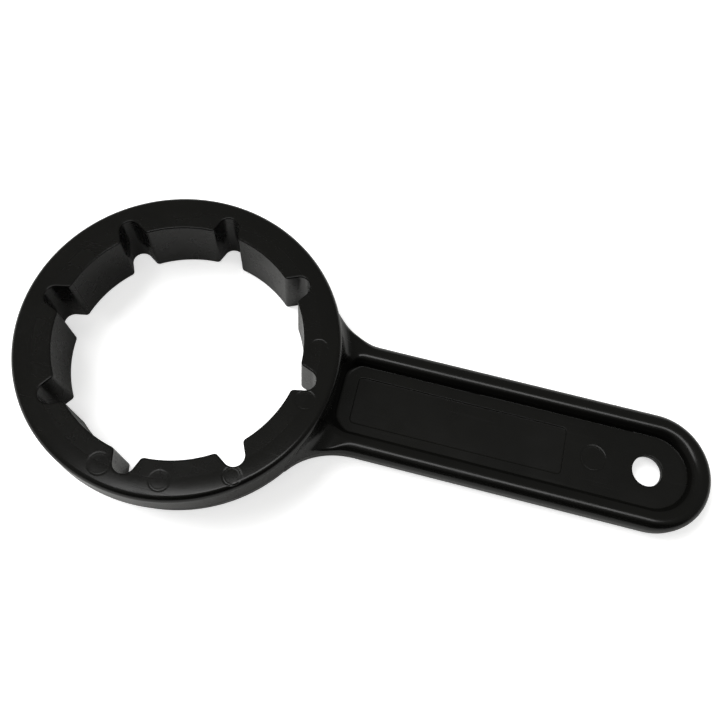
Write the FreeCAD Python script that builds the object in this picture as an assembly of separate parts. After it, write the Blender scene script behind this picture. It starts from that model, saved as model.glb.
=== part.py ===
import FreeCAD, Part
import os
import math
from FreeCAD import Vector as V

os.makedirs("parts", exist_ok=True)

# One-piece moulded ring spanner for lobed filter housings and large caps.
# All dimensions in millimetres.  The ring's axis is Z, the underside is at
# z = 0 and the handle points along +X.  The six nodes are regions of a
# single moulding: they meet face to face and do not overlap.

# ---- ring ---------------------------------------------------------------
BORE_R = 45.0          # radius of the circle on which the eight lug faces lie
RING_H = 26.5          # height of the ring and of the lugs
SEAT_R = 51.4          # radius at which the lugs grow out of the ring wall
WALL_R_TOP = 59.15     # outer wall where the top rounding starts
WALL_R_PART = 59.7     # outer wall at the parting line, the widest place
WALL_R_BOT = 58.3      # outer wall where the bottom rounding starts
WALL_PART_Z = 13.2     # height of the parting line on the ring
TOP_ROUND = 2.2        # rounding of the ring's outer top edge
BOT_ROUND = 2.0        # rounding of the ring's outer bottom edge
LUG_ROUND = 0.9        # rounding of the lugs' upright corners
LUG_EDGE = 0.7         # rounding of the lug faces' top and bottom edges

# ---- notches between the lugs --------------------------------------------
NOTCH_COUNT = 8
NOTCH_FIRST_AZ = -4.7  # degrees from the handle to the nearest notch
NOTCH_MOUTH_W = 10.1   # width at the bore circle
NOTCH_ROOT_R = 52.1    # deepest point of the notch, from the bore axis
NOTCH_ROOT_ROUND = 3.9 # radius of the rounded root

# ---- handle ---------------------------------------------------------------
HANDLE_H = 11.2        # height of the rim that runs round the handle
HANDLE_END_X = 184.05  # centre of the rounded end
HANDLE_END_R = 23.05   # outer radius of the rounded end
NECK_HALF_W = 22.45    # outer half width where the neck roundings start
NECK_X = 72.1          # x at which the neck roundings start
NECK_ROUND = 28.0      # radius of the concave neck roundings
RIM_W = 8.8            # width of the rim
RIM_TOP_ROUND = 4.4    # rounding of the rim's outer top edge
RIM_BOT_ROUND = 4.4    # rounding of the rim's outer bottom edge
RIM_IN_ROUND = 4.2     # rounding of the rim's inner edges
NECK_RISE = 8.5        # radius of the ramp where the rim climbs the ring's wall
WEB_Z0 = 4.2           # underside of the web
WEB_Z1 = 6.9           # top of the web
HANG_X = 182.6         # centre of the hanging hole
HANG_R = 5.9           # radius of the hanging hole

# ---- blank label field, slightly sunk into the web -------------------------
LABEL_X0 = 66.6
LABEL_X1 = 149.8
LABEL_Y0 = -10.0
LABEL_Y1 = 9.0
LABEL_CORNER = 2.0
LABEL_SINK = 0.4


def prism(wire, z0, z1):
    face = Part.Face(wire)
    face.translate(V(0, 0, z0))
    return face.extrude(V(0, 0, z1 - z0))


def arc3(a, b, c):
    return Part.Arc(a, b, c).toShape()


def revolve(edges):
    return Part.Face(Part.Wire(edges)).revolve(V(0, 0, 0), V(0, 0, 1), 360)


def one(shape, name):
    solids = shape.Solids
    if len(solids) != 1:
        raise RuntimeError("%s: %d solids" % (name, len(solids)))
    return solids[0]


def round_edges(solid, pick, radius):
    edges = [e for e in solid.Edges if pick(e)]
    return solid.makeFillet(radius, edges)


def at_z(e, z):
    b = e.BoundBox
    return abs(b.ZMin - z) < 1e-6 and abs(b.ZMax - z) < 1e-6


# ---- ring profile ----------------------------------------------------------
def ring_profile(r_in):
    """Section of the ring from r_in to the outer wall, in the XZ plane."""
    k = math.sqrt(0.5)
    top_c = (WALL_R_TOP - TOP_ROUND, RING_H - TOP_ROUND)
    bot_c = (WALL_R_BOT - BOT_ROUND, BOT_ROUND)
    p0 = V(r_in, 0, 0)
    p1 = V(bot_c[0], 0, 0)
    p1m = V(bot_c[0] + BOT_ROUND * k, 0, bot_c[1] - BOT_ROUND * k)
    p2 = V(WALL_R_BOT, 0, BOT_ROUND)
    p3 = V(WALL_R_PART, 0, WALL_PART_Z)
    p4 = V(WALL_R_TOP, 0, top_c[1])
    p4m = V(top_c[0] + TOP_ROUND * k, 0, top_c[1] + TOP_ROUND * k)
    p5 = V(top_c[0], 0, RING_H)
    p6 = V(r_in, 0, RING_H)
    return [Part.makeLine(p0, p1), arc3(p1, p1m, p2), Part.makeLine(p2, p3),
            Part.makeLine(p3, p4), arc3(p4, p4m, p5), Part.makeLine(p5, p6),
            Part.makeLine(p6, p0)]


def notch_prism(az):
    """A flared slot with a rounded root, cut through the full height."""
    r = NOTCH_ROOT_ROUND
    cx = NOTCH_ROOT_R - r
    my = NOTCH_MOUTH_W / 2.0
    mx = math.sqrt(BORE_R ** 2 - my ** 2)
    dx, dy = mx - cx, my
    dist = math.hypot(dx, dy)
    base = math.atan2(dy, dx)
    half = math.acos(r / dist)
    ta = base - half
    tx, ty = cx + r * math.cos(ta), r * math.sin(ta)
    # the flank runs on past the bore circle so that the mouth is open
    run = 8.0
    ux, uy = (mx - tx), (my - ty)
    n = math.hypot(ux, uy)
    ox, oy = mx + ux / n * run, my + uy / n * run
    e = [Part.makeLine(V(ox, -oy, 0), V(tx, -ty, 0)),
         arc3(V(tx, -ty, 0), V(cx + r, 0, 0), V(tx, ty, 0)),
         Part.makeLine(V(tx, ty, 0), V(ox, oy, 0)),
         Part.makeLine(V(ox, oy, 0), V(ox, -oy, 0))]
    s = prism(Part.Wire(e), -1.0, RING_H + 1.0)
    s.rotate(V(0, 0, 0), V(0, 0, 1), az)
    return s


notches = [notch_prism(NOTCH_FIRST_AZ + i * 360.0 / NOTCH_COUNT)
           for i in range(NOTCH_COUNT)]

ring_wall = revolve(ring_profile(SEAT_R))
lug_band = Part.makeCylinder(SEAT_R, RING_H).cut(
    Part.makeCylinder(BORE_R, RING_H))
for s in notches:
    ring_wall = ring_wall.cut(s)
    lug_band = lug_band.cut(s)
ring_wall = one(ring_wall, "ring_wall")


def lug_corner(e):
    """True for an upright edge where a lug face meets a notch flank."""
    b = e.BoundBox
    m = e.CenterOfMass
    return (abs(b.ZLength - RING_H) < 1e-6
            and abs(math.hypot(m.x, m.y) - BORE_R) < 1e-3)


def lug_rim(e):
    """True for the edges round a lug face at the top and the underside."""
    m = e.CenterOfMass
    flat = at_z(e, 0) or at_z(e, RING_H)
    return flat and math.hypot(m.x, m.y) < BORE_R + 1.0


lug_solids = []
for s in lug_band.Solids:
    s = round_edges(s, lug_corner, LUG_ROUND)
    s = round_edges(one(s, "lug"), lug_rim, LUG_EDGE)
    lug_solids.append(one(s, "lug"))
if len(lug_solids) != NOTCH_COUNT:
    raise RuntimeError("drive_lugs: %d solids" % len(lug_solids))

# the whole disc inside the outer wall, used to trim what joins the ring
ring_core = revolve(ring_profile(0.0)[:-1]
                    + [Part.makeLine(V(0, 0, RING_H), V(0, 0, 0))])

# ---- handle outlines --------------------------------------------------------
slope = math.atan2(HANDLE_END_R - NECK_HALF_W, HANDLE_END_X - NECK_X)


def handle_outline(inset, x_start):
    """Closed outline of the handle, inset from its outer edge."""
    r = HANDLE_END_R - inset
    tx = HANDLE_END_X - r * math.sin(slope)
    ty = r * math.cos(slope)
    y0 = ty - (tx - x_start) * math.tan(slope)
    tip = V(HANDLE_END_X + r, 0, 0)
    a = V(x_start, -y0, 0)
    b = V(tx, -ty, 0)
    c = V(tx, ty, 0)
    d = V(x_start, y0, 0)
    return [Part.makeLine(a, b), arc3(b, tip, c), Part.makeLine(c, d),
            Part.makeLine(d, a)], y0


# ---- handle rim: a rounded bead along both sides and round the end ----------
outer_edges, outer_y = handle_outline(0.0, NECK_X)
inner_edges, inner_y = handle_outline(RIM_W, NECK_X)
rim = prism(Part.Wire(outer_edges), 0, HANDLE_H).cut(
    prism(Part.Wire(inner_edges), -1, HANDLE_H + 1))
rim = one(rim, "handle_rim")


def rim_edge(e, z, outer):
    """True for a top or bottom edge of the rim on its outer or inner side."""
    if not at_z(e, z):
        return False
    b = e.BoundBox
    if abs(b.XMin - NECK_X) < 1e-6 and abs(b.XMax - NECK_X) < 1e-6:
        return False
    if e.Curve.TypeId == "Part::GeomCircle":
        return (e.Curve.Radius > HANDLE_END_R - RIM_W / 2) == outer
    return (max(abs(b.YMin), abs(b.YMax)) > NECK_HALF_W - RIM_W / 2) == outer


rim = one(round_edges(rim, lambda e: rim_edge(e, HANDLE_H, True), RIM_TOP_ROUND), "rim")
rim = one(round_edges(rim, lambda e: rim_edge(e, 0, True), RIM_BOT_ROUND), "rim")
rim = one(round_edges(rim, lambda e: rim_edge(e, HANDLE_H, False), RIM_IN_ROUND), "rim")
handle_rim = one(round_edges(rim, lambda e: rim_edge(e, 0, False), RIM_IN_ROUND),
                 "handle_rim rounded")

# ---- neck gussets: the rim swept outwards into the ring ----------------------
cy = outer_y + NECK_ROUND
touch = math.atan2(cy, NECK_X)
reach = math.hypot(NECK_X, cy) - NECK_ROUND
tx, ty = reach * math.cos(touch), reach * math.sin(touch)
mid_a = 0.5 * (-math.pi / 2 + (touch - math.pi))
mid = V(NECK_X + NECK_ROUND * math.cos(mid_a), cy + NECK_ROUND * math.sin(mid_a), 0)
in_x = 50.0
g = [Part.makeLine(V(NECK_X, inner_y, 0), V(NECK_X, outer_y, 0)),
     arc3(V(NECK_X, outer_y, 0), mid, V(tx, ty, 0)),
     Part.makeLine(V(tx, ty, 0), V(in_x - 4, ty - 4, 0)),
     Part.makeLine(V(in_x - 4, ty - 4, 0), V(in_x, inner_y, 0)),
     Part.makeLine(V(in_x, inner_y, 0), V(NECK_X, inner_y, 0))]
gus = prism(Part.Wire(g), 0, HANDLE_H)


def neck_arc(e, z):
    return at_z(e, z) and e.Curve.TypeId == "Part::GeomCircle"


def neck_inner(e):
    b = e.BoundBox
    return ((at_z(e, 0) or at_z(e, HANDLE_H))
            and abs(b.YMin - inner_y) < 1e-6 and abs(b.YMax - inner_y) < 1e-6)


gus = one(round_edges(gus, lambda e: neck_arc(e, HANDLE_H), RIM_TOP_ROUND), "gusset")
gus = one(round_edges(gus, lambda e: neck_arc(e, 0), RIM_BOT_ROUND), "gusset")
gus = one(round_edges(gus, neck_inner, RIM_IN_ROUND), "gusset")

# ramp from the rim's top up the ring's wall, set in from the gusset's edges
r0 = WALL_R_TOP - 6.0
r1 = WALL_R_PART + NECK_RISE
zt = HANDLE_H + NECK_RISE - 1.0
k45 = NECK_RISE * math.sqrt(0.5)
ramp = revolve([Part.makeLine(V(r0, 0, 6), V(r1, 0, 6)),
                Part.makeLine(V(r1, 0, 6), V(r1, 0, HANDLE_H)),
                arc3(V(r1, 0, HANDLE_H),
                     V(r1 - k45, 0, HANDLE_H + NECK_RISE - k45),
                     V(r1 - math.sqrt(NECK_RISE ** 2 - 1.0), 0, zt)),
                Part.makeLine(V(r1 - math.sqrt(NECK_RISE ** 2 - 1.0), 0, zt), V(r0, 0, zt)),
                Part.makeLine(V(r0, 0, zt), V(r0, 0, 6))])
inset = RIM_TOP_ROUND - 0.9
ra = NECK_ROUND + inset
ea = touch + math.radians(-4.0)
px, py = NECK_X, cy - ra
mx_, my_ = (NECK_X + ra * math.cos(mid_a), cy + ra * math.sin(mid_a))
ex, ey = (NECK_X + ra * math.cos(ea - math.pi), cy + ra * math.sin(ea - math.pi))
iy = inner_y + RIM_IN_ROUND
ramp_plan = [Part.makeLine(V(px, iy, 0), V(px, py, 0)),
             arc3(V(px, py, 0), V(mx_, my_, 0), V(ex, ey, 0)),
             Part.makeLine(V(ex, ey, 0), V(in_x - 4, ey - 4, 0)),
             Part.makeLine(V(in_x - 4, ey - 4, 0), V(in_x, iy, 0)),
             Part.makeLine(V(in_x, iy, 0), V(px, iy, 0))]
ramp = ramp.common(prism(Part.Wire(ramp_plan), 5.0, 30.0))
gus = one(gus.fuse(ramp).cut(ring_core).removeSplitter(), "gusset")
gus_m = gus.mirror(V(0, 0, 0), V(0, 1, 0))
gussets = [gus, gus_m]

# ---- web between the rim's two sides -----------------------------------------
web_edges, web_y = handle_outline(RIM_W, 50.0)
web = prism(Part.Wire(web_edges), WEB_Z0, WEB_Z1)
web = web.cut(ring_core)
web = web.cut(handle_rim)
for s in gussets:
    web = web.cut(s)
web = web.cut(Part.makeCylinder(HANG_R, 12, V(HANG_X, 0, WEB_Z0 - 5)))
web = max(web.Solids, key=lambda s: s.Volume)

# ---- sunk label field ----------------------------------------------------------
lab = Part.makeBox(LABEL_X1 - LABEL_X0, LABEL_Y1 - LABEL_Y0, WEB_Z1 - WEB_Z0,
                   V(LABEL_X0, LABEL_Y0, WEB_Z0))
lab = lab.makeFillet(LABEL_CORNER, [
    e for e in lab.Edges
    if abs(e.BoundBox.ZLength - (WEB_Z1 - WEB_Z0)) < 1e-6])
handle_web = one(web.cut(lab), "handle_web")
trim = Part.makeBox(200, 60, 5, V(0, -30, WEB_Z1 - LABEL_SINK))
label_field = one(lab.cut(trim), "label_field")

nodes = {
    "ring_wall": ring_wall,
    "drive_lugs": Part.makeCompound(lug_solids),
    "neck_gussets": Part.makeCompound(gussets),
    "handle_rim": handle_rim,
    "handle_web": handle_web,
    "label_field": label_field,
}
for name, shape in nodes.items():
    if not shape.isValid():
        raise RuntimeError("%s is not valid" % name)
    shape.exportStep("parts/%s.step" % name)
    bb = shape.BoundBox
    print("%-13s solids %d  volume %9.1f  x %.2f %.2f  y %.2f %.2f  z %.2f %.2f"
          % (name, len(shape.Solids), shape.Volume, bb.XMin, bb.XMax,
             bb.YMin, bb.YMax, bb.ZMin, bb.ZMax))
names = list(nodes)
for i, a in enumerate(names):
    for b in names[i + 1:]:
        v = nodes[a].common(nodes[b]).Volume
        if v > 1e-3:
            print("overlap", a, b, round(v, 3))
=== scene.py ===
import math

import bpy
import numpy as np
from mathutils import Matrix, Vector


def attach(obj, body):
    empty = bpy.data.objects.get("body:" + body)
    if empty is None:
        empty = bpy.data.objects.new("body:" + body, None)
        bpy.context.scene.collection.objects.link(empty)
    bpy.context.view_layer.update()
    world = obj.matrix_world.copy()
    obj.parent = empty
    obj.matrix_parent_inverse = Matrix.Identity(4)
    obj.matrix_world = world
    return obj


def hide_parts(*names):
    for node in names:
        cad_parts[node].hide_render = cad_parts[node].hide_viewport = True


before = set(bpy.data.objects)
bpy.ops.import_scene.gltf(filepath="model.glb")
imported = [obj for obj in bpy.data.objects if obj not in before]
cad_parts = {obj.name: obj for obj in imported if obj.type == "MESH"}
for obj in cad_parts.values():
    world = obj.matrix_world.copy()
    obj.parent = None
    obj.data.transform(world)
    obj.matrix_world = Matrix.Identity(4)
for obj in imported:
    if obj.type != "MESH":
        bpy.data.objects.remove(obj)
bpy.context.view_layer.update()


# ---------------------------------------------------------------------------
# The moulding, written as a distance field in millimetres.  Every piece is
# meshed from the same field, so neighbouring pieces share one surface.
# ---------------------------------------------------------------------------
BORE_R = 45.0
RING_H = 26.5
SEAT_R = 51.4
WALL_R_TOP = 59.15
WALL_R_PART = 59.63
WALL_R_BOT = 58.3
WALL_PART_Z = 13.2
TOP_ROUND = 2.2
BOT_ROUND = 2.0
LUG_ROUND = 0.9
LUG_EDGE = 0.7
NOTCHES = 8
NOTCH_AZ = math.radians(-4.7)
NOTCH_MOUTH = 5.05
NOTCH_ROOT_R = 52.1
NOTCH_ROUND = 3.9

HANDLE_H = 11.2
HANDLE_PART_Z = 5.6
END_X = 184.05
END_R = 23.03
NECK_HALF_W = 22.45
NECK_X = 72.1
NECK_ROUND = 28.0
RIM_W = 8.8
RIM_TOP_ROUND = 4.4
RIM_BOT_ROUND = 4.4
RIM_IN_ROUND = 4.2
NECK_RISE = 8.5
POCKET_X = 60.8
POCKET_CORNER = 6.6
WEB_Z0 = 4.2
WEB_Z1 = 6.9
HANG_X = 182.6
HANG_R = 5.9
LABEL = (66.6, 149.8, -10.0, 9.0)
LABEL_CORNER = 2.0
LABEL_SINK = 0.4

SLOPE = math.atan2(END_R - NECK_HALF_W, END_X - NECK_X)
CS, SN = math.cos(SLOPE), math.sin(SLOPE)


def rmax(a, b, k):
    """Intersection with a circular rounding of radius k."""
    return (np.minimum(-k, np.maximum(a, b))
            + np.hypot(np.maximum(k + a, 0), np.maximum(k + b, 0)))


def rmin(a, b, k):
    """Union with a circular fillet of radius k."""
    return (np.maximum(k, np.minimum(a, b))
            - np.hypot(np.maximum(k - a, 0), np.maximum(k - b, 0)))


def smooth(t):
    t = np.clip(t, 0, 1)
    return t * t * (3 - 2 * t)


def wall_r(z):
    up = (WALL_R_TOP - WALL_R_PART) / (RING_H - TOP_ROUND - WALL_PART_Z)
    lo = (WALL_R_PART - WALL_R_BOT) / (WALL_PART_Z - BOT_ROUND)
    return WALL_R_PART + np.where(z > WALL_PART_Z, up * (z - WALL_PART_Z),
                                  lo * (z - WALL_PART_Z))


def stadium(x, ay, inset):
    """Tapered handle outline with a round end, inset from its outer edge."""
    s = (x - END_X) * CS + ay * SN
    d_side = -(x - END_X) * SN + ay * CS
    return np.where(s > 0, np.hypot(x - END_X, ay), d_side) - (END_R - inset)


_ty = END_R * CS
_tx = END_X - END_R * SN
OUTER_Y = _ty - (_tx - NECK_X) * math.tan(SLOPE)
CY = OUTER_Y + NECK_ROUND
TOUCH = math.atan2(CY, NECK_X)


def outline(x, y, z):
    """Outer edge of the handle with the concave necks, drafted in z."""
    ay = np.abs(y)
    rho = np.hypot(x, y)
    az = np.arctan2(ay, x)
    vx, vy = x - NECK_X, ay - CY
    sector = (x < NECK_X) & (az < TOUCH) & (ay < CY)
    d = np.where(sector, NECK_ROUND - np.hypot(vx, vy),
                 np.minimum(rho - WALL_R_PART, stadium(x, ay, 0.0)))
    turn = np.clip((-np.arctan2(vy, vx) - math.pi / 2) / (math.pi / 2 - TOUCH), 0, 1)
    t = np.where(sector, smooth(turn), np.where(az >= TOUCH, 1.0, 0.0))
    t = np.where(x >= NECK_X, 0.0, t)
    off = ((1 - t) * (-0.030 * np.abs(z - HANDLE_PART_Z))
           + t * (wall_r(z) - WALL_R_PART))
    return d - off


def pocket(x, y):
    """Edge of the sunk pocket inside the rim, negative inside the pocket."""
    return rmax(stadium(x, np.abs(y), RIM_W), POCKET_X - x, POCKET_CORNER)


def label_edge(x, y):
    cx, cy = 0.5 * (LABEL[0] + LABEL[1]), 0.5 * (LABEL[2] + LABEL[3])
    hx, hy = 0.5 * (LABEL[1] - LABEL[0]), 0.5 * (LABEL[3] - LABEL[2])
    qx = np.abs(x - cx) - hx + LABEL_CORNER
    qy = np.abs(y - cy) - hy + LABEL_CORNER
    return (np.hypot(np.maximum(qx, 0), np.maximum(qy, 0))
            + np.minimum(np.maximum(qx, qy), 0) - LABEL_CORNER)


# round witness marks of the ejector pins: x, y, radius, depth
RING_MARKS = [(32.7, -43.8, 3.1, 0.24), (-11.8, -50.6, 3.7, 0.22),
              (9.5, -51.3, 3.4, 0.20), (50.0, -11.4, 3.4, 0.28),
              (49.8, 9.1, 3.1, 0.26)]
WEB_MARKS = [(161.2, -0.2, 4.8, 0.30)]


def witness(x, y, marks):
    """Depth of the pin marks: a shallow dish with a fine ring round it."""
    out = np.zeros_like(x)
    for mx, my, mr, md in marks:
        r = np.hypot(x - mx, y - my)
        out += md * (0.50 * smooth((mr - r) / 0.7)
                     + 0.50 * np.exp(-((r - mr) / 0.28) ** 2))
    return out


def ring_body(x, y, z):
    rho = np.hypot(x, y)
    wall = rho - wall_r(z) - 0.07 * np.exp(-((z - WALL_PART_Z) / 0.16) ** 2)
    crown = 0.42 * (np.clip((rho - 50.5) / 6.6, 0, 1.5)) ** 2
    top = z - RING_H + crown + witness(x, y, RING_MARKS)
    d = rmax(wall, top, TOP_ROUND)
    return rmax(d, -z, BOT_ROUND)


def inner_edge(x, y):
    """Material side of the lug and notch outline, positive in the bore."""
    rho = np.hypot(x, y)
    step = 2 * math.pi / NOTCHES
    az = np.mod(np.arctan2(y, x) - NOTCH_AZ + step / 2, step) - step / 2
    lx, ly = rho * np.cos(az), np.abs(rho * np.sin(az))
    cx = NOTCH_ROOT_R - NOTCH_ROUND
    mx = math.sqrt(BORE_R ** 2 - NOTCH_MOUTH ** 2)
    ta = (math.atan2(NOTCH_MOUTH, mx - cx)
          - math.acos(NOTCH_ROUND / math.hypot(mx - cx, NOTCH_MOUTH)))
    tx, ty = cx + NOTCH_ROUND * math.cos(ta), NOTCH_ROUND * math.sin(ta)
    ux, uy = mx - tx, NOTCH_MOUTH - ty
    n = math.hypot(ux, uy)
    ux, uy = ux / n, uy / n
    s = (lx - tx) * ux + (ly - ty) * uy
    # signed distance to the flank, positive outside the notch
    nx, ny = -uy, ux
    if ny < 0:
        nx, ny = -nx, -ny
    flank = (lx - tx) * nx + (ly - ty) * ny
    notch = np.where(s > 0, flank, np.hypot(lx - cx, ly) - NOTCH_ROUND)
    return rmax(BORE_R - rho, -notch, LUG_ROUND)


def ring(x, y, z):
    return rmax(ring_body(x, y, z), inner_edge(x, y), LUG_EDGE)


def handle(x, y, z):
    rho = np.hypot(x, y)
    edge = outline(x, y, z)
    wall = rho - wall_r(z)
    draft = 0.03 * (HANDLE_H - np.abs(z - HANDLE_PART_Z) * 2) * 0.5
    pk = pocket(x, y) + draft
    # the top climbs the ring's wall on a concave ramp
    top = rmin(wall, z - HANDLE_H, NECK_RISE)
    kt = RIM_TOP_ROUND - 2.9 * smooth((70.0 - x) / 9.0)
    outer = rmax(rmax(edge, top, kt), -z, RIM_BOT_ROUND)
    inner = rmax(rmax(-pk, top, RIM_IN_ROUND), -z, RIM_IN_ROUND)
    clip = np.maximum(np.maximum(54.5 - rho, 35.0 - x), z - 22.0)
    rim = np.maximum(np.maximum(outer, inner), clip)
    lab = label_edge(x, y)
    floor = (z - WEB_Z1 + LABEL_SINK * smooth(0.5 - (lab + 0.22) / 0.44)
             + witness(x, y, WEB_MARKS))
    web = np.maximum(np.maximum(floor, WEB_Z0 - z), edge + 2.5)
    web = np.maximum(web, clip)
    k = 0.05 + 1.6 * smooth((68.0 - x) / 5.0)
    return rmin(rim, web, k), edge


def moulding(x, y, z):
    hand, edge = handle(x, y, z)
    d = rmin(ring(x, y, z), hand, 0.02)
    d = rmax(d, HANG_R - np.hypot(x - HANG_X, y), 0.45)
    return d


# ---------------------------------------------------------------------------
# Regions of the moulding: negative inside the region of each node.
# ---------------------------------------------------------------------------
def in_ring(x, y, z):
    return np.hypot(x, y) - wall_r(z)


def region_wall(x, y, z):
    return np.maximum(in_ring(x, y, z) - 0.22, SEAT_R - np.hypot(x, y))


def region_lugs(x, y, z):
    return np.hypot(x, y) - SEAT_R


SEAM = 0.3


def region_neck(x, y, z):
    g = np.maximum(np.maximum(0.66 - 3.0 * in_ring(x, y, z), x - NECK_X), -pocket(x, y) - SEAM)
    return np.maximum(g, np.maximum(47.5 - x, z - 20.4))


def region_rim(x, y, z):
    return np.maximum(NECK_X - x, -pocket(x, y) - SEAM)


def region_web(x, y, z):
    g = np.maximum(np.maximum(pocket(x, y) + SEAM, 0.66 - 3.0 * in_ring(x, y, z)),
                   -label_edge(x, y) + 0.25)
    return np.maximum(g, np.maximum(z - WEB_Z1 - 1.9, WEB_Z0 - 1.9 - z))


def region_label(x, y, z):
    return label_edge(x, y) - 0.25


OVERLAP = 0.8
DIP = 0.12


def piece_field(region):
    def field(x, y, z):
        g = region(x, y, z)
        return np.maximum(moulding(x, y, z) + DIP * np.clip(g / OVERLAP, 0, 1),
                          g - OVERLAP)
    return field


# ---------------------------------------------------------------------------
# Surface nets on a grid with uneven steps, straight or round the bore's axis.
# ---------------------------------------------------------------------------
def straight(a, b, c):
    return a, b, c


def polar(a, b, c):
    return a * np.cos(b), a * np.sin(b), c


def gradient(f, p, h=0.015):
    g = np.empty_like(p)
    for i in range(3):
        q = p.copy()
        q[:, i] += h
        hi = f(q[:, 0], q[:, 1], q[:, 2])
        q[:, i] -= 2 * h
        g[:, i] = (hi - f(q[:, 0], q[:, 1], q[:, 2])) / (2 * h)
    return g


def nets(f, A, B, C, to_xyz=straight, wrap=False):
    A, B, C = (np.asarray(v, float) for v in (A, B, C))
    na, nb, nc = len(A), len(B), len(C)
    S = np.empty((na, nb, nc))
    for i in range(na):
        a, b, c = np.meshgrid(A[i:i + 1], B, C, indexing="ij")
        S[i] = f(*to_xyz(a, b, c))[0]
    if wrap:
        S[:, -1] = S[:, 0]
    neg = S < 0
    corner = sum(neg[i:na - 1 + i, j:nb - 1 + j, k:nc - 1 + k].astype(np.int8)
                 for i in (0, 1) for j in (0, 1) for k in (0, 1))
    cells = np.argwhere((corner > 0) & (corner < 8))
    index = np.full(corner.shape, -1, np.int64)
    index[tuple(cells.T)] = np.arange(len(cells))
    total = np.zeros((len(cells), 3))
    count = np.zeros(len(cells))
    axes = (A, B, C)
    for axis in range(3):
        others = [v for v in range(3) if v != axis]
        for o0 in (0, 1):
            for o1 in (0, 1):
                lo = cells.copy()
                lo[:, others[0]] += o0
                lo[:, others[1]] += o1
                hi = lo.copy()
                hi[:, axis] += 1
                s0, s1 = S[tuple(lo.T)], S[tuple(hi.T)]
                cross = (s0 < 0) != (s1 < 0)
                t = np.where(cross, s0 / np.where(cross, s0 - s1, 1), 0)
                pos = np.stack([axes[v][lo[:, v]] for v in range(3)], 1)
                pos[:, axis] += t * (axes[axis][hi[:, axis]] - axes[axis][lo[:, axis]])
                total += pos * cross[:, None]
                count += cross
    par = total / count[:, None]
    P = np.stack(to_xyz(par[:, 0], par[:, 1], par[:, 2]), 1)

    quads = []
    shape = corner.shape

    def cell_ids(i, j, k):
        if wrap:
            j = np.mod(j, shape[1])
        return index[i, j, k]

    # edges along a
    e = np.argwhere(neg[:-1, :, :] != neg[1:, :, :])
    keep = (e[:, 2] > 0) & (e[:, 2] < nc - 1)
    keep &= (e[:, 1] < nb - 1) if wrap else (e[:, 1] > 0) & (e[:, 1] < nb - 1)
    e = e[keep]
    i, j, k = e.T
    q = np.stack([cell_ids(i, j - 1, k - 1), cell_ids(i, j, k - 1),
                  cell_ids(i, j, k), cell_ids(i, j - 1, k)], 1)
    q[~neg[i, j, k]] = q[~neg[i, j, k]][:, ::-1]
    quads.append(q)
    # edges along b
    e = np.argwhere(neg[:, :-1, :] != neg[:, 1:, :])
    e = e[(e[:, 0] > 0) & (e[:, 0] < na - 1) & (e[:, 2] > 0) & (e[:, 2] < nc - 1)]
    i, j, k = e.T
    q = np.stack([cell_ids(i - 1, j, k - 1), cell_ids(i - 1, j, k),
                  cell_ids(i, j, k), cell_ids(i, j, k - 1)], 1)
    q[~neg[i, j, k]] = q[~neg[i, j, k]][:, ::-1]
    quads.append(q)
    # edges along c
    e = np.argwhere(neg[:, :, :-1] != neg[:, :, 1:])
    keep = (e[:, 0] > 0) & (e[:, 0] < na - 1)
    keep &= (e[:, 1] < nb - 1) if wrap else (e[:, 1] > 0) & (e[:, 1] < nb - 1)
    e = e[keep]
    i, j, k = e.T
    q = np.stack([cell_ids(i - 1, j - 1, k), cell_ids(i, j - 1, k),
                  cell_ids(i, j, k), cell_ids(i - 1, j, k)], 1)
    q[~neg[i, j, k]] = q[~neg[i, j, k]][:, ::-1]
    quads.append(q)
    Q = np.concatenate(quads)

    for _ in range(4):
        d = f(P[:, 0], P[:, 1], P[:, 2])
        g = gradient(f, P)
        n2 = np.maximum((g * g).sum(1), 0.25)
        step = g * (d / n2)[:, None]
        size = np.linalg.norm(step, axis=1)
        step *= np.minimum(1, 0.35 / np.maximum(size, 1e-9))[:, None]
        P -= step
    P[:, 2] = np.clip(P[:, 2], 0.0, RING_H)
    return P, Q


def steps(*parts):
    """Grid lines from (start, stop, spacing) runs that join end to end."""
    out = [parts[0][0]]
    for lo, hi, gap in parts:
        n = max(1, int(math.ceil((hi - lo) / gap - 1e-9)))
        out += [lo + (hi - lo) * (i + 1) / n for i in range(n)]
    return np.array(out)


def mirror(parts):
    """Runs given for the positive side, repeated on the negative side."""
    return [(-hi, -lo, gap) for lo, hi, gap in reversed(parts)] + list(parts)


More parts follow.
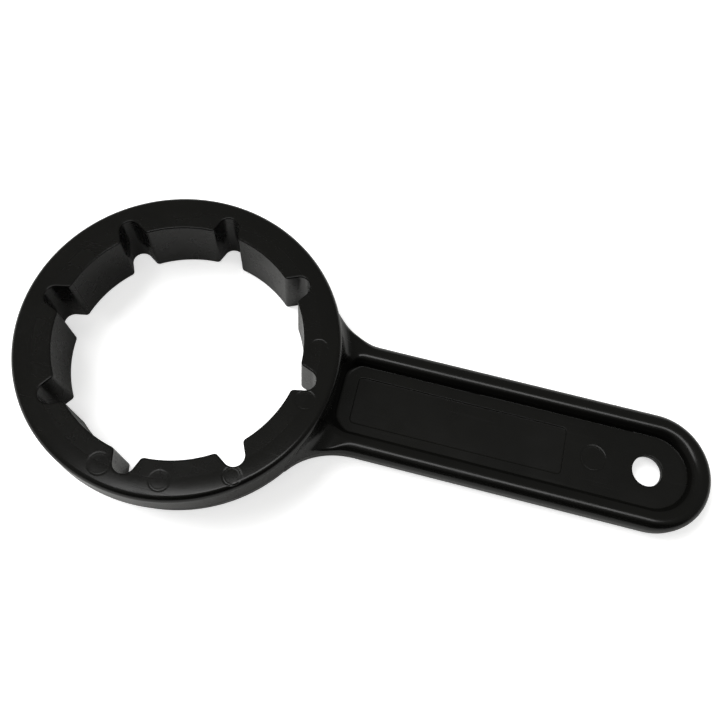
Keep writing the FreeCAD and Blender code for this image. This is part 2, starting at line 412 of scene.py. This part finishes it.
# ---------------------------------------------------------------------------
# Material: glossy black moulded plastic with a fine moulded skin.
# ---------------------------------------------------------------------------
def plastic(name, base, rough, skin, wave, seed):
    mat = bpy.data.materials.new(name)
    mat.use_nodes = True
    nt = mat.node_tree
    nt.nodes.clear()
    N, L = nt.nodes.new, nt.links.new
    out = N("ShaderNodeOutputMaterial")
    bsdf = N("ShaderNodeBsdfPrincipled")
    L(bsdf.outputs["BSDF"], out.inputs["Surface"])
    bsdf.inputs["IOR"].default_value = 1.49
    co = N("ShaderNodeTexCoord")
    mp = N("ShaderNodeMapping")
    mp.inputs["Location"].default_value = (seed, seed * 0.7, seed * 1.3)
    L(co.outputs["Object"], mp.inputs["Vector"])

    def noise(scale, detail=2.0, roughness=0.5, vec=None):
        n = N("ShaderNodeTexNoise")
        n.inputs["Scale"].default_value = scale
        n.inputs["Detail"].default_value = detail
        n.inputs["Roughness"].default_value = roughness
        L((vec or mp).outputs["Vector"], n.inputs["Vector"])
        return n

    def remap(src, lo, hi, a=0.3, b=0.7):
        m = N("ShaderNodeMapRange")
        m.inputs["From Min"].default_value = a
        m.inputs["From Max"].default_value = b
        m.inputs["To Min"].default_value = lo
        m.inputs["To Max"].default_value = hi
        L(src, m.inputs["Value"])
        return m

    # tone: pigment that is very slightly uneven, with a warm drift
    tone = noise(38.0, 3.0, 0.6)
    ramp = N("ShaderNodeValToRGB")
    ramp.color_ramp.elements[0].position = 0.30
    ramp.color_ramp.elements[1].position = 0.72
    ramp.color_ramp.elements[0].color = (base * 0.82, base * 0.82, base * 0.74, 1)
    ramp.color_ramp.elements[1].color = (base * 1.22, base * 1.20, base * 1.04, 1)
    L(tone.outputs["Fac"], ramp.inputs["Fac"])
    L(ramp.outputs["Color"], bsdf.inputs["Base Color"])

    # gloss: patches of duller skin, and fine hair scratches
    patch = noise(60.0, 4.0, 0.62)
    r_patch = remap(patch.outputs["Fac"], rough * 0.86, rough * 1.22)
    hair_map = N("ShaderNodeMapping")
    hair_map.inputs["Rotation"].default_value = (0, 0, 0.5 + seed)
    hair_map.inputs["Scale"].default_value = (22.0, 900.0, 300.0)
    L(mp.outputs["Vector"], hair_map.inputs["Vector"])
    hair = noise(1.0, 2.0, 0.5, hair_map)
    r_hair = remap(hair.outputs["Fac"], 0.0, 0.16, 0.64, 0.78)
    add = N("ShaderNodeMath")
    add.operation = "ADD"
    add.use_clamp = True
    L(r_patch.outputs["Result"], add.inputs[0])
    L(r_hair.outputs["Result"], add.inputs[1])
    L(add.outputs["Value"], bsdf.inputs["Roughness"])

    # skin: fine moulded grain over a slow ripple from uneven shrinkage
    grain = noise(2600.0, 3.0, 0.55)
    slow = noise(30.0, 1.0, 0.4)
    b1 = N("ShaderNodeBump")
    b1.inputs["Strength"].default_value = 1.0
    b1.inputs["Distance"].default_value = skin
    L(grain.outputs["Fac"], b1.inputs["Height"])
    b2 = N("ShaderNodeBump")
    b2.inputs["Strength"].default_value = 1.0
    b2.inputs["Distance"].default_value = wave
    L(slow.outputs["Fac"], b2.inputs["Height"])
    L(b2.outputs["Normal"], b1.inputs["Normal"])
    b3 = N("ShaderNodeBump")
    b3.inputs["Strength"].default_value = 0.5
    b3.inputs["Distance"].default_value = 0.00002
    b3.invert = True
    L(r_hair.outputs["Result"], b3.inputs["Height"])
    L(b1.outputs["Normal"], b3.inputs["Normal"])
    L(b3.outputs["Normal"], bsdf.inputs["Normal"])
    return mat


MATS = {
    "ring": plastic("black_plastic_ring", 0.0026, 0.20, 0.0000035, 0.00012, 0.0),
    "lugs": plastic("black_plastic_lugs", 0.0026, 0.26, 0.0000035, 0.00012, 0.0),
    "neck": plastic("black_plastic_neck", 0.0026, 0.20, 0.0000035, 0.00010, 0.0),
    "rim": plastic("black_plastic_rim", 0.0026, 0.20, 0.0000035, 0.00010, 0.0),
    "web": plastic("black_plastic_web", 0.0026, 0.28, 0.0000045, 0.00014, 0.0),
    "label": plastic("black_plastic_label", 0.0026, 0.31, 0.0000050, 0.00016, 0.0),
}


def make_piece(name, node, region, grid, mat, to_xyz=straight, wrap=False):
    field = piece_field(region)
    P, Q = nets(field, *grid, to_xyz=to_xyz, wrap=wrap)
    # normals of the whole moulding where the piece shows, so that no seam
    # shows between neighbours; the piece's own where it is buried
    n_all = gradient(moulding, P)
    n_own = gradient(field, P)
    buried = moulding(P[:, 0], P[:, 1], P[:, 2]) < -(DIP + 0.10)
    nrm = np.where(buried[:, None], n_own, n_all)
    nrm /= np.maximum(np.linalg.norm(nrm, axis=1), 1e-9)[:, None]
    me = bpy.data.meshes.new(name)
    me.from_pydata((P * 0.001).tolist(), [], Q.tolist())
    me.validate()
    me.update()
    me.polygons.foreach_set("use_smooth", [True] * len(me.polygons))
    me.normals_split_custom_set_from_vertices(nrm.tolist())
    me.materials.append(mat)
    ob = bpy.data.objects.new(name, me)
    bpy.context.scene.collection.objects.link(ob)
    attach(ob, "root")
    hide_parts(node)
    print("piece", name, len(P), "verts", len(Q), "quads")
    return ob


F = 1.0


def around(base, fine):
    """Grid of angles round the bore, finer where the pin marks lie."""
    lines = [0.0]
    marks = [(math.atan2(my, mx) % (2 * math.pi), (mr + 1.0) / math.hypot(mx, my))
             for mx, my, mr, md in RING_MARKS]
    while lines[-1] < 2 * math.pi:
        t = lines[-1]
        near = any(abs((t - c + math.pi) % (2 * math.pi) - math.pi) < w for c, w in marks)
        lines.append(t + (fine if near else base))
    lines = np.array(lines)
    return lines * (2 * math.pi / lines[-1])


turn = around(math.radians(0.75 * F), math.radians(0.30 * F))
fine_turn = around(math.radians(0.43 * F), math.radians(0.30 * F))
pz = WALL_PART_Z
ring_z = steps((-0.5, 3.0, 0.35 * F), (3.0, pz - 0.7, 1.6), (pz - 0.7, pz - 0.04, 0.12),
               (pz - 0.04, pz + 0.04, 0.08), (pz + 0.04, pz + 0.7, 0.12),
               (pz + 0.7, 22.9, 1.6), (22.9, 27.1, 0.26 * F))
make_piece("ring_wall_moulded", "ring_wall", region_wall,
           (steps((50.0, 61.4, 0.30 * F)), turn, ring_z),
           MATS["ring"], polar, True)
lug_z = steps((-0.5, 1.4, 0.22 * F), (1.4, 25.1, 1.9), (25.1, 27.1, 0.20 * F))
make_piece("drive_lugs_moulded", "drive_lugs", region_lugs,
           (steps((44.4, 46.4, 0.22 * F), (46.4, 52.8, 0.32 * F)), fine_turn, lug_z),
           MATS["lugs"], polar, True)
hz = HANDLE_PART_Z
rim_z = steps((-0.6, hz - 0.5, 0.36 * F), (hz - 0.5, hz - 0.05, 0.22),
              (hz - 0.05, hz + 0.05, 0.1), (hz + 0.05, hz + 0.5, 0.22),
              (hz + 0.5, 11.9, 0.34 * F))
neck_z = np.concatenate([rim_z, steps((11.9, 22.0, 0.42 * F))[1:]])
make_piece("neck_gussets_moulded", "neck_gussets", region_neck,
           (steps((45.9, 73.7, 0.42 * F)),
            steps(*mirror([(0.0, 9.0, 1.5), (9.0, 36.2, 0.42 * F)])), neck_z),
           MATS["neck"])
make_piece("handle_rim_moulded", "handle_rim", region_rim,
           (steps((70.6, 73.6, 0.75), (73.6, 173.0, 2.6), (173.0, 208.8, 0.42 * F)),
            steps(*mirror([(0.0, 12.0, 0.5 * F), (12.0, 24.6, 0.32 * F)])), rim_z),
           MATS["rim"])
web_z = steps((1.0, 3.4, 0.4), (3.4, 5.0, 0.2), (5.0, 6.3, 0.3), (6.3, 7.5, 0.13 * F),
              (7.5, 10.2, 0.3))
make_piece("handle_web_moulded", "handle_web", region_web,
           (steps((59.2, 63.0, 0.34 * F), (63.0, 65.6, 0.5), (65.6, 69.2, 0.30 * F),
                  (69.2, 147.2, 2.0), (147.2, 150.8, 0.24), (150.8, 155.4, 0.6),
                  (155.4, 167.0, 0.26 * F), (167.0, 175.6, 0.6), (175.6, 189.6, 0.30 * F),
                  (189.6, 201.6, 0.42 * F)),
            steps((-17.2, -11.6, 0.30 * F), (-11.6, -9.0, 0.20), (-9.0, -6.4, 0.4),
                  (-6.4, 6.4, 0.30 * F), (6.4, 8.2, 0.4), (8.2, 10.6, 0.20),
                  (10.6, 12.2, 0.4), (12.2, 17.2, 0.30 * F)), web_z),
           MATS["web"])
lab_z = steps((3.1, 3.6, 0.25), (3.6, 4.8, 0.2), (4.8, 6.0, 0.3), (6.0, 7.3, 0.13))
make_piece("label_field_moulded", "label_field", region_label,
           (steps((65.0, 69.2, 0.24), (69.2, 147.2, 1.8), (147.2, 151.6, 0.24)),
            steps((-11.6, -7.8, 0.20), (-7.8, 6.8, 0.9), (6.8, 10.6, 0.20)), lab_z),
           MATS["label"])

# ---------------------------------------------------------------------------
# Floor, light and camera.
# ---------------------------------------------------------------------------
floor_me = bpy.data.meshes.new("floor")
floor_me.from_pydata([(-3, -3, 0), (3, -3, 0), (3, 3, 0), (-3, 3, 0)], [], [(0, 1, 2, 3)])
floor = bpy.data.objects.new("floor", floor_me)
floor.location = (0.07, 0.0, -0.0002)
bpy.context.scene.collection.objects.link(floor)
fm = bpy.data.materials.new("floor_pale")
fm.use_nodes = True
ft = fm.node_tree
ft.nodes.clear()
f_out = ft.nodes.new("ShaderNodeOutputMaterial")
f_mix = ft.nodes.new("ShaderNodeMixShader")
f_path = ft.nodes.new("ShaderNodeLightPath")
f_sum = ft.nodes.new("ShaderNodeAddShader")
f_pale = ft.nodes.new("ShaderNodeBsdfDiffuse")
f_pale.inputs["Color"].default_value = (0.80, 0.80, 0.80, 1)
f_glow = ft.nodes.new("ShaderNodeEmission")
f_glow.inputs["Strength"].default_value = 0.60
f_soft = ft.nodes.new("ShaderNodeBsdfDiffuse")
f_soft.inputs["Color"].default_value = (0.47, 0.47, 0.46, 1)
ft.links.new(f_pale.outputs[0], f_sum.inputs[0])
ft.links.new(f_glow.outputs[0], f_sum.inputs[1])
ft.links.new(f_path.outputs["Is Glossy Ray"], f_mix.inputs[0])
ft.links.new(f_sum.outputs[0], f_mix.inputs[1])
ft.links.new(f_soft.outputs[0], f_mix.inputs[2])
ft.links.new(f_mix.outputs[0], f_out.inputs["Surface"])
floor_me.materials.append(fm)

target = Vector((0.075, 0.0, 0.01))


def area(name, direction, dist, size, power, shape="SQUARE", size_y=None, aim=None):
    light = bpy.data.lights.new(name, "AREA")
    light.shape = shape
    light.size = size
    if size_y:
        light.size_y = size_y
    light.energy = power
    ob = bpy.data.objects.new(name, light)
    d = Vector(direction).normalized()
    at = aim or target
    ob.location = at + d * dist
    ob.rotation_euler = (-d).to_track_quat("-Z", "Y").to_euler()
    bpy.context.scene.collection.objects.link(ob)
    return ob


key = area("key_soft", (0.0, -0.21, 0.963), 1.3, 1.25, 3.6, "RECTANGLE", 0.30,
           Vector((0.17, 0.0, 0.01)))
fill = area("fill_soft", (-0.62, 0.22, 0.75), 1.6, 1.2, 36.0)
fill.visible_glossy = False

world = bpy.data.worlds.new("studio")
bpy.context.scene.world = world
world.use_nodes = True
wt = world.node_tree
bg = wt.nodes["Background"]
wc = wt.nodes.new("ShaderNodeTexCoord")
sep = wt.nodes.new("ShaderNodeSeparateXYZ")
wr = wt.nodes.new("ShaderNodeValToRGB")
wt.links.new(wc.outputs["Generated"], sep.inputs["Vector"])
wt.links.new(sep.outputs["Z"], wr.inputs["Fac"])
e = wr.color_ramp.elements
e[0].position, e[0].color = 0.0, (0.10, 0.10, 0.095, 1)
e[1].position, e[1].color = 1.0, (0.19, 0.19, 0.175, 1)
for at, v in ((0.60, 0.145), (0.86, 0.155), (0.94, 0.160)):
    m = wr.color_ramp.elements.new(at)
    m.color = (v, v, v * 0.93, 1)
# the studio is open and dark low down on one side
dot = wt.nodes.new("ShaderNodeVectorMath")
dot.operation = "DOT_PRODUCT"
dot.inputs[1].default_value = (0.34, -0.94, 0.0)
wt.links.new(wc.outputs["Generated"], dot.inputs[0])
dark = wt.nodes.new("ShaderNodeMapRange")
dark.interpolation_type = "SMOOTHSTEP"
dark.inputs["From Min"].default_value = 0.48
dark.inputs["From Max"].default_value = 0.80
wt.links.new(dot.outputs["Value"], dark.inputs["Value"])
mix = wt.nodes.new("ShaderNodeMix")
mix.data_type = "RGBA"
mix.inputs[7].default_value = (0.008, 0.008, 0.008, 1)
wt.links.new(dark.outputs["Result"], mix.inputs[0])
wt.links.new(wr.outputs["Color"], mix.inputs[6])
# past the floor's edge the studio wall is as pale as the floor
wall = wt.nodes.new("ShaderNodeMix")
wall.data_type = "RGBA"
wall.inputs[7].default_value = (1.0, 1.0, 1.0, 1)
path = wt.nodes.new("ShaderNodeLightPath")
wt.links.new(path.outputs["Is Camera Ray"], wall.inputs[0])
wt.links.new(mix.outputs[2], wall.inputs[6])
wt.links.new(wall.outputs[2], bg.inputs["Color"])
bg.inputs["Strength"].default_value = 1.0

# camera: position and turn of the view, in the part's own frame
SCALE = 45.0 / 39.2 * 1.008
RV = np.array((2.748154, 0.453980, 0.027383))
T = np.array((-58.64719, 0.56475, 256.16501)) * SCALE * 0.001
FOC = 751.1687
PHI = 0.0821631


def rot(v):
    a = float(np.linalg.norm(v))
    k = v / a
    K = np.array([[0, -k[2], k[1]], [k[2], 0, -k[0]], [-k[1], k[0], 0]])
    return np.eye(3) + math.sin(a) * K + (1 - math.cos(a)) * (K @ K)


Rz = np.array([[math.cos(PHI), -math.sin(PHI), 0],
               [math.sin(PHI), math.cos(PHI), 0], [0, 0, 1]])
RT = rot(RV) @ Rz
loc = -RT.T @ T
cam_data = bpy.data.cameras.new("camera")
cam_data.sensor_width = 36.0
cam_data.lens = 36.0 * FOC / 720.0
cam_data.clip_start = 0.01
cam_data.shift_x = -1.3 / 720.0
cam_data.shift_y = 0.5 / 720.0
cam = bpy.data.objects.new("camera", cam_data)
m4 = Matrix.Identity(4)
for i in range(3):
    m4[i][0] = RT[0][i]
    m4[i][1] = -RT[1][i]
    m4[i][2] = -RT[2][i]
    m4[i][3] = loc[i]
cam.matrix_world = m4
bpy.context.scene.collection.objects.link(cam)
bpy.context.scene.camera = cam
bpy.context.scene.view_settings.view_transform = "Standard"
